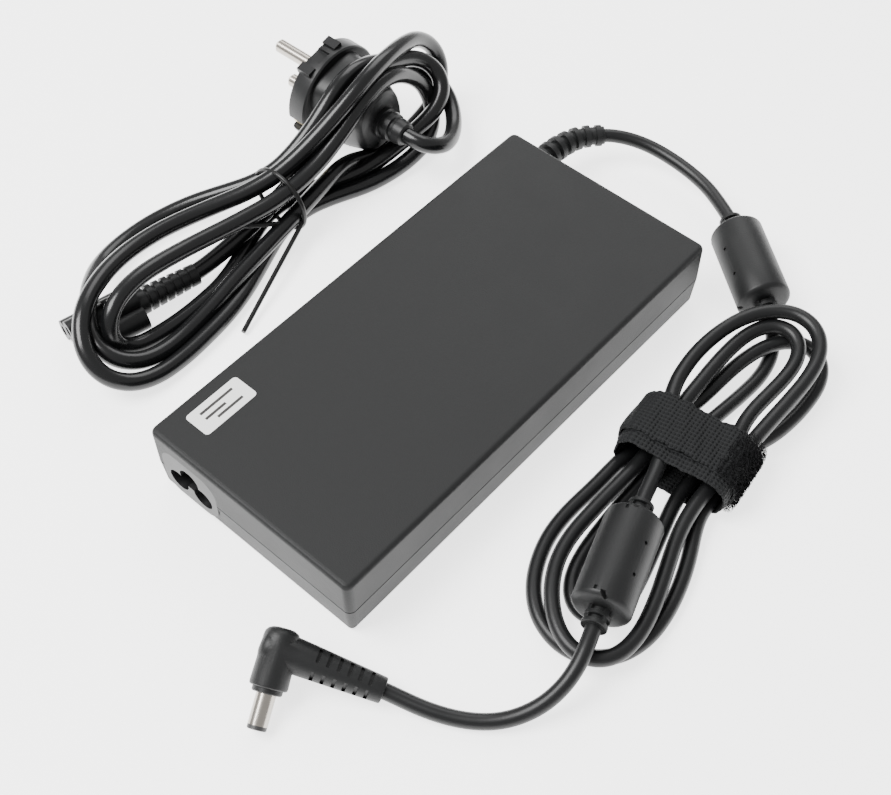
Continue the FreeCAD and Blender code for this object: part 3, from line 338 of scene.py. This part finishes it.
# ---- turned and cut pieces -----------------------------------------------------------
def skin(work, rings):
    """Joins rings of corners with faces and closes both ends."""
    count = len(rings[0])
    for first, second in zip(rings, rings[1:]):
        for index in range(count):
            after = (index + 1) % count
            work.faces.new((first[index], first[after], second[after], second[index]))
    work.faces.new(list(reversed(rings[0])))
    work.faces.new(rings[-1])


def lathe(work, profile, origin, axis, segments=56):
    """Adds a turned solid to a bmesh: (distance along the axis, radius) pairs in millimetres."""
    along = Vector(axis).normalized()
    side = along.orthogonal().normalized()
    across = along.cross(side)
    rings = []
    for distance, radius in profile:
        center = mm(*origin) + along * (distance / 1000.0)
        ring = []
        for index in range(segments):
            angle = 2.0 * math.pi * index / segments
            reach = (side * math.cos(angle) + across * math.sin(angle)) * (radius / 1000.0)
            ring.append(work.verts.new(center + reach))
        rings.append(ring)
    skin(work, rings)


def block(work, center, axes, size):
    """Adds a box to a bmesh: centre and sides in millimetres, along three unit axes."""
    corners = []
    for sx, sy, sz in [(-1, -1, -1), (1, -1, -1), (1, 1, -1), (-1, 1, -1),
                       (-1, -1, 1), (1, -1, 1), (1, 1, 1), (-1, 1, 1)]:
        offset = axes[0] * (sx * size[0] / 2) + axes[1] * (sy * size[1] / 2) + axes[2] * (sz * size[2] / 2)
        corners.append(work.verts.new((Vector(center) + offset) / 1000.0))
    for face in [(0, 3, 2, 1), (4, 5, 6, 7), (0, 1, 5, 4), (1, 2, 6, 5), (2, 3, 7, 6), (3, 0, 4, 7)]:
        work.faces.new([corners[index] for index in face])


def to_mesh(name, work):
    """The finished mesh of a bmesh, with its faces looking outward."""
    mesh = bpy.data.meshes.new(name)
    bmesh.ops.recalc_face_normals(work, faces=work.faces)
    work.to_mesh(mesh)
    work.free()
    return mesh


def cut(mesh, tool, operation="DIFFERENCE"):
    """The mesh after a boolean with the tool mesh."""
    target = bpy.data.objects.new("target", mesh)
    cutter = bpy.data.objects.new("cutter", tool)
    for made in (target, cutter):
        scene.collection.objects.link(made)
    change = target.modifiers.new("cut", "BOOLEAN")
    change.object = cutter
    change.operation = operation
    change.solver = "EXACT"
    change.use_self = True
    graph = bpy.context.evaluated_depsgraph_get()
    result = bpy.data.meshes.new_from_object(target.evaluated_get(graph))
    for made in (target, cutter):
        bpy.data.objects.remove(made)
    return result


def frame_of(axis, roll=0.0):
    """Three unit axes: two across and the given one along, turned by roll degrees."""
    along = Vector(axis).normalized()
    level = Vector((0, 0, 1)).cross(along).normalized()
    upright = along.cross(level)
    angle = math.radians(roll)
    first = level * math.cos(angle) + upright * math.sin(angle)
    return first, along.cross(first), along


def build_ferrite(prefix, start, end, hole_roll):
    """A moulded ferrite lump: turned shell with dimples, corner marks and a ribbed neck at each end."""
    axes = frame_of(Vector(end) - Vector(start), hole_roll)
    body = bmesh.new()
    lathe(body, [(0.0, 7.0), (0.35, 7.9), (1.1, 8.6), (1.6, 8.75), (10.0, 8.75), (22.0, 8.75), (30.4, 8.75),
                 (30.9, 8.6), (31.65, 7.9), (32.0, 7.0)], start, axes[2])
    shell = to_mesh(prefix, body)
    tools = bmesh.new()
    surface = Vector(start) + axes[0] * 8.9
    for distance in (32.0 / 3.0, 64.0 / 3.0):
        lathe(tools, [(-0.9, 0.55), (0.9, 0.6)], surface + axes[2] * distance, axes[0], 16)
    for distance, turn in ((0.6, 1), (31.4, -1)):
        corner = Vector(start) + axes[0] * 6.4 + axes[1] * 6.1 + axes[2] * distance
        block(tools, corner, axes, (1.0, 4.4, 2.6))
        block(tools, corner + axes[1] * 1.6 + axes[2] * (turn * 1.6), axes, (4.4, 1.1, 1.3))
    shell = cut(shell, to_mesh("tools", tools))
    necks = bmesh.new()
    for place, direction in ((Vector(start), -axes[2]), (Vector(end), axes[2])):
        lathe(necks, [(-1.0, 2.75), (5.5, 2.75)], place, direction, 40)
        for near, far in ((1.4, 2.7), (4.0, 5.3)):
            ring = [(near, 3.55), (near + 0.15, 3.8), (far - 0.15, 3.8), (far, 3.55)]
            lathe(necks, ring, place, direction, 40)
        for first, second in ((axes[0], axes[1]), (axes[1], -axes[0])):
            for side in (-1, 1):
                rib = place + first * (side * 3.0) + direction * 2.2
                block(necks, rib, (first, second, direction), (1.2, 1.5, 4.6))
    shell = cut(shell, to_mesh("necks", necks), "UNION")
    made = piece(prefix + "_shell", smooth(shell, 0.5), "soft_pvc")
    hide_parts(prefix + "_overmould")
    return made


ferrite_a = build_ferrite("ferrite_a", (35.7, 107.7, 8.8), (60.9, 88.0, 8.8), 150.0)
ferrite_b = build_ferrite("ferrite_b", (79.6, -6.3, 13.3), (90.0, -36.5, 13.7), 50.0)

# ---- top label, with three plain bars in place of any words --------------------------
LABEL_CENTER = (-29.7, -62.0)
LABEL_BOTTOM = 26.1
LABEL_TOP = 26.26
LABEL_CORNER_RADIUS = 1.2
BAR_WIDTH = 0.9
label_work = bmesh.new()
outline = []
for corner_x, corner_y, first in ((1, 1, 0), (-1, 1, 90), (-1, -1, 180), (1, -1, 270)):
    for step in range(7):
        angle = math.radians(first + 15 * step)
        outline.append((LABEL_CENTER[0] + corner_x * 3.6 + LABEL_CORNER_RADIUS * math.cos(angle),
                        LABEL_CENTER[1] + corner_y * 8.8 + LABEL_CORNER_RADIUS * math.sin(angle)))
low = [label_work.verts.new(mm(x, y, LABEL_BOTTOM)) for x, y in outline]
high = [label_work.verts.new(mm(x, y, LABEL_TOP)) for x, y in outline]
label_work.faces.new(high)
label_work.faces.new(list(reversed(low)))
for index in range(len(outline)):
    after = (index + 1) % len(outline)
    label_work.faces.new((low[index], low[after], high[after], high[index]))
label = piece("brand_label_film", to_mesh("brand_label_film", label_work), "label_film")
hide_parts("brand_label")
marks = bmesh.new()
level_axes = (Vector((1, 0, 0)), Vector((0, 1, 0)), Vector((0, 0, 1)))


for x, y, length in ((-2.2, 0.0, 12.6), (0.2, -2.4, 7.8), (2.2, 1.5, 9.8)):
    bar_center = (LABEL_CENTER[0] + x, LABEL_CENTER[1] + y, LABEL_TOP + 0.01)
    block(marks, bar_center, level_axes, (BAR_WIDTH, length, 0.05))
piece("brand_label_marks", to_mesh("brand_label_marks", marks), "label_film", finish="label_print")

# ---- hook-and-loop strap -------------------------------------------------------------
STRAP_MIDDLE = (75.2, 25.6)
STRAP_TURN = math.radians(7.0)


def strap_outline(half_width, low_z, high_z, radius, count):
    """Points round the bundle, seen along the strands, from the top's left end clockwise."""
    corners = [(half_width - radius, high_z - radius, 90), (half_width - radius, low_z + radius, 0),
               (-half_width + radius, low_z + radius, -90), (-half_width + radius, high_z - radius, -180)]
    dense = []
    for x, z, first in corners:
        for step in range(13):
            angle = math.radians(first - 7.5 * step)
            dense.append((x + radius * math.cos(angle), z + radius * math.sin(angle)))
    dense.append(dense[0])
    lengths = [0.0]
    for a, b in zip(dense, dense[1:]):
        lengths.append(lengths[-1] + math.hypot(b[0] - a[0], b[1] - a[1]))
    points = []
    for index in range(count):
        want = lengths[-1] * index / (count - 1)
        spot = max(k for k in range(len(lengths) - 1) if lengths[k] <= want + 1e-9)
        share = (want - lengths[spot]) / (lengths[spot + 1] - lengths[spot])
        points.append((dense[spot][0] + (dense[spot + 1][0] - dense[spot][0]) * share,
                       dense[spot][1] + (dense[spot + 1][1] - dense[spot][1]) * share, want))
    return points


def strap_place(x, y, z):
    """A point of the strap, given across and along the strands, in metres in the frame."""
    turned_x = x * math.cos(STRAP_TURN) - y * math.sin(STRAP_TURN)
    turned_y = x * math.sin(STRAP_TURN) + y * math.cos(STRAP_TURN)
    return mm(STRAP_MIDDLE[0] + turned_x, STRAP_MIDDLE[1] + turned_y, z)


def ribbon(name, path, y_low, y_high, thickness, ragged):
    """A band of webbing along a path across the strands, with slightly uneven edges."""
    work = bmesh.new()
    lay = work.verts.layers.float_vector.new("lay")
    rows = 15
    inner = []
    outer = []
    for index, (x, z, distance) in enumerate(path):
        before = path[max(index - 1, 0)]
        after = path[min(index + 1, len(path) - 1)]
        run = Vector((after[0] - before[0], after[1] - before[1])).normalized()
        normal = Vector((-run.y, run.x))
        waver = ragged * math.sin(distance * 0.9) + ragged * 0.7 * math.sin(distance * 2.3 + 1.0)
        lines = ([], [])
        for row in range(rows):
            share = row / (rows - 1)
            edge = waver if row in (0, rows - 1) else waver * 0.5
            y = y_low + (y_high - y_low) * share + edge
            long_wave = 0.35 * math.sin(distance * 0.31 + 3.0 * share)
            short_wave = 0.15 * math.sin(distance * 1.3 + 7.0 * share)
            sag = long_wave + short_wave
            thin = 0.55 if row in (0, rows - 1) else 1.0
            for line, offset in zip(lines, (sag, sag + thickness * thin)):
                made = work.verts.new(strap_place(x + normal.x * offset, y, max(0.15, z + normal.y * offset)))
                made[lay] = Vector((distance / 1000.0, y / 1000.0, 0.0))
                line.append(made)
        inner.append(lines[0])
        outer.append(lines[1])
    for index in range(len(path) - 1):
        for row in range(rows - 1):
            work.faces.new((outer[index][row], outer[index][row + 1],
                            outer[index + 1][row + 1], outer[index + 1][row]))
            work.faces.new((inner[index][row], inner[index + 1][row],
                            inner[index + 1][row + 1], inner[index][row + 1]))
        for row in (0, rows - 1):
            work.faces.new((inner[index][row], outer[index][row],
                            outer[index + 1][row], inner[index + 1][row]))
    for index in (0, len(path) - 1):
        for row in range(rows - 1):
            work.faces.new((inner[index][row], inner[index][row + 1],
                            outer[index][row + 1], outer[index][row]))
    return smooth(to_mesh(name, work), 0.9)


inner_path = strap_outline(17.9, 1.5, 15.5, 6.2, 150)
inner_band = piece("strap_inner_turn", ribbon("strap_inner_turn", inner_path, -12.0, 5.5, 0.8, 0.12),
                   "strap_webbing")
outer_path = strap_outline(18.9, 0.5, 16.5, 6.8, 190)
outer_band = piece("strap_outer_turn", ribbon("strap_outer_turn", outer_path, -7.6, 9.4, 0.9, 0.25),
                   "strap_webbing")
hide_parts("cable_strap")

PILE_FIBRES = 3600
FIBRE_HALF_SIZE = Vector((0.00006, 0.00006, 0.00004))
LOWEST_FIBRE = 0.2

fuzz = bmesh.new()
for fibre in range(PILE_FIBRES):
    index = random.randint(0, 62)
    x, z, distance = outer_path[index]
    if random.random() > min(1.0, (index + 6) / 14.0):
        continue
    x_next, z_next, _ = outer_path[index + 1]
    run = Vector((x_next - x, z_next - z)).normalized()
    normal = Vector((-run.y, run.x))
    y = random.uniform(-7.9, 9.7)
    reach = random.uniform(0.8, 1.9)
    root = strap_place(x + normal.x * 0.75, y, max(LOWEST_FIBRE, z + normal.y * 0.75))
    bend = (random.uniform(-0.9, 0.9), random.uniform(-0.9, 0.9))
    middle = strap_place(x + normal.x * (0.8 + reach * 0.7) + run.x * bend[0], y + bend[1],
                         max(LOWEST_FIBRE, z + normal.y * (0.8 + reach * 0.7) + run.y * bend[0]))
    tip = strap_place(x + normal.x * (0.8 + reach * 0.6) + run.x * bend[0] * 2.2, y + bend[1] * 2.2,
                      max(LOWEST_FIBRE, z + normal.y * (0.8 + reach * 0.6) + run.y * bend[0] * 2.2))
    sides = []
    for spot in (root, middle, tip):
        sides.append((fuzz.verts.new(spot - FIBRE_HALF_SIZE), fuzz.verts.new(spot + FIBRE_HALF_SIZE)))
    for first, second in zip(sides, sides[1:]):
        fuzz.faces.new((first[0], first[1], second[1], second[0]))
pile = piece("strap_loop_pile", to_mesh("strap_loop_pile", fuzz), "strap_webbing", finish="strap_pile")


# ---- laptop plug ---------------------------------------------------------------------
ELBOW = (32.0, -101.5, 12.0)
BARREL_AXIS = Vector((0.383, -0.822, -0.42)).normalized()
BOOT_AXIS = Vector((0.8836, 0.4016, -0.241)).normalized()
BOOT_ROW_TURN = 80.0

housing = bmesh.new()
lathe(housing, [(-5.9, 1.6), (-5.7, 3.0), (-5.1, 4.2), (-4.2, 4.85), (-3.0, 5.05), (0.0, 5.1), (9.5, 5.35),
                (10.1, 5.25), (10.4, 4.9), (10.4, 4.25), (11.6, 4.2), (11.9, 3.95)], ELBOW, BARREL_AXIS)
boot = bmesh.new()
lathe(boot, [(-5.2, 1.8), (-4.9, 3.2), (-4.2, 4.3), (-3.0, 4.9), (0.0, 5.05), (6.0, 4.9), (29.7, 3.7),
             (30.1, 3.6), (30.3, 3.3)], ELBOW, BOOT_AXIS)
plug_mesh = cut(to_mesh("plug", housing), to_mesh("boot", boot), "UNION")
slots = bmesh.new()
for row in range(4):
    outward, tangent, along = frame_of(BOOT_AXIS, BOOT_ROW_TURN + 90.0 * row)
    for index in range(6):
        distance = 10.8 + 3.05 * index
        radius = 4.9 - (distance - 6.0) * 0.0506
        block(slots, Vector(ELBOW) + along * distance + outward * radius, (outward, tangent, along),
              (2.6, 4.4, 1.0))
plug_mesh = cut(plug_mesh, to_mesh("slots", slots))
plug_body = piece("laptop_plug_body", smooth(plug_mesh, 0.6), "soft_pvc")
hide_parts("dc_plug_body")

tip = bmesh.new()
lathe(tip, [(20.5, 2.72), (21.45, 2.72), (21.7, 2.5)], ELBOW, BARREL_AXIS)
bore = bmesh.new()
lathe(bore, [(19.5, 1.3), (23.0, 1.3)], ELBOW, BARREL_AXIS, 32)
tip_mesh = cut(to_mesh("tip", tip), to_mesh("bore", bore))
plug_tip = piece("laptop_plug_tip", smooth(tip_mesh, 0.5), "black_resin")

# ---- wall plug -----------------------------------------------------------------------
DISC_CENTER = (-109.5, 61.0, 19.0)
PIN_AXIS = Vector((-1.0, -0.023, 0.011)).normalized()
PIN_ROLL = 77.6


def rounded(share, power):
    """A sine or cosine drawn out towards a square's side: the higher the power, the squarer."""
    return math.copysign(abs(share) ** (2.0 / power), share)


def loft(work, sections, origin, axes, segments=64):
    """Adds a solid through rounded sections: (distance, half height, half width, squareness)."""
    rings = []
    for distance, half_height, half_width, power in sections:
        ring = []
        for index in range(segments):
            angle = 2.0 * math.pi * index / segments
            height = half_height * rounded(math.cos(angle), power)
            width = half_width * rounded(math.sin(angle), power)
            place = Vector(origin) + axes[2] * distance + axes[0] * height + axes[1] * width
            ring.append(work.verts.new(place / 1000.0))
        rings.append(ring)
    skin(work, rings)


row, strip_side, ahead = frame_of(PIN_AXIS, PIN_ROLL)
rear = -ahead
disc = bmesh.new()
lathe(disc, [(0.0, 17.3), (0.6, 18.2), (1.3, 18.5), (7.2, 18.5), (7.8, 18.1), (8.0, 17.4)],
      DISC_CENTER, rear, 96)
grip = bmesh.new()
loft(grip, [(7.0, 15.4, 13.6, 3.2), (11.0, 15.3, 12.6, 3.4), (18.0, 14.4, 11.4, 3.4), (25.0, 12.6, 10.2, 3.0),
            (27.4, 11.4, 9.4, 2.6), (28.0, 10.4, 8.6, 2.4)], DISC_CENTER, (row, strip_side, rear))
wall_mesh = cut(to_mesh("disc", disc), to_mesh("grip", grip), "UNION")
hollows = bmesh.new()
for side in (-1, 1):
    flat = Vector(DISC_CENTER) + strip_side * (side * 15.6) + rear * 15.5
    block(hollows, flat, (row, strip_side, rear), (15.0, 9.0, 12.0))
    ledge = Vector(DISC_CENTER) + strip_side * (side * 17.2) + rear * 12.6 - row * 3.0
    block(hollows, ledge, (row, strip_side, rear), (9.0, 9.0, 8.8))
    groove = Vector(DISC_CENTER) + strip_side * (side * 17.5) + rear * 4.0
    block(hollows, groove, (row, strip_side, rear), (6.4, 4.0, 10.0))
    notch = Vector(DISC_CENTER) + row * (side * 18.6) + rear * 2.4
    block(hollows, notch, (row, strip_side, rear), (3.4, 5.2, 6.8))
wall_mesh = cut(wall_mesh, to_mesh("hollows", hollows))
tail = bmesh.new()
lathe(tail, [(27.0, 5.6), (29.6, 5.5), (29.9, 4.6), (31.2, 4.6), (31.5, 5.2), (33.4, 5.0), (33.7, 4.2),
             (35.0, 4.2), (35.3, 4.6), (38.4, 4.1), (39.0, 3.5)], DISC_CENTER, rear, 40)
for side in (-1, 1):
    tab = Vector(DISC_CENTER) + (row * 0.93 + strip_side * (0.36 * side)) * 18.6 + rear * 3.0
    block(tail, tab, (row, strip_side, rear), (2.2, 3.4, 5.6))
wall_mesh = cut(wall_mesh, to_mesh("tail", tail), "UNION")
wall_plug = piece("wall_plug_shell", smooth(wall_mesh, 0.5), "lead_plastic", "mains_lead")
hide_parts("wall_plug_body")


# ---- floor, light and camera ---------------------------------------------------------
floor_mesh = bpy.data.meshes.new("floor")
FLOOR_HALF = 6.0
floor_mesh.from_pydata([(-FLOOR_HALF, -FLOOR_HALF, 0), (FLOOR_HALF, -FLOOR_HALF, 0),
                        (FLOOR_HALF, FLOOR_HALF, 0), (-FLOOR_HALF, FLOOR_HALF, 0)],
                       [], [(0, 1, 2, 3)])
floor = bpy.data.objects.new("floor", floor_mesh)
floor.location.z = -0.0002
scene.collection.objects.link(floor)
card = material("floor_card", (0.86, 0.86, 0.855), 0.6, 0.05, 1.5, 0.01)
card_shader = card.node_tree.nodes["Principled BSDF"]
card_shader.inputs["Emission Color"].default_value = (1.0, 1.0, 1.0, 1.0)
card_shader.inputs["Emission Strength"].default_value = 2.4
floor.data.materials.append(card)

world = bpy.data.worlds.new("studio")
scene.world = world
world.use_nodes = True
world.node_tree.nodes["Background"].inputs["Color"].default_value = (1.0, 1.0, 1.0, 1.0)
world.node_tree.nodes["Background"].inputs["Strength"].default_value = 0.7


def area_light(name, place, size, power):
    """A square lamp that looks at the middle of the object."""
    lamp = bpy.data.lights.new(name, "AREA")
    lamp.size = size
    lamp.energy = power
    made = bpy.data.objects.new(name, lamp)
    scene.collection.objects.link(made)
    made.location = place
    made.rotation_mode = "QUATERNION"
    made.rotation_quaternion = (-Vector(place)).to_track_quat("-Z", "Y")


area_light("key", (-0.42, -0.48, 1.05), 0.7, 30.0)
area_light("fill", (-0.5, 0.8, 0.9), 0.8, 8.0)

camera_data = bpy.data.cameras.new("camera")
camera = bpy.data.objects.new("camera", camera_data)
scene.collection.objects.link(camera)
camera_data.sensor_width = 36.0
camera_data.lens = 57.23
camera_data.clip_start = 0.01
right = Vector((0.74929, 0.66223, -0.00467)).normalized()
up = Vector((-0.53226, 0.60639, 0.59075)).normalized()
back = right.cross(up).normalized()
up = back.cross(right).normalized()
turn = Matrix((right, up, back)).transposed()
camera.matrix_world = Matrix.Translation((0.17911, -0.19803, 0.35795)) @ turn.to_4x4()
scene.camera = camera
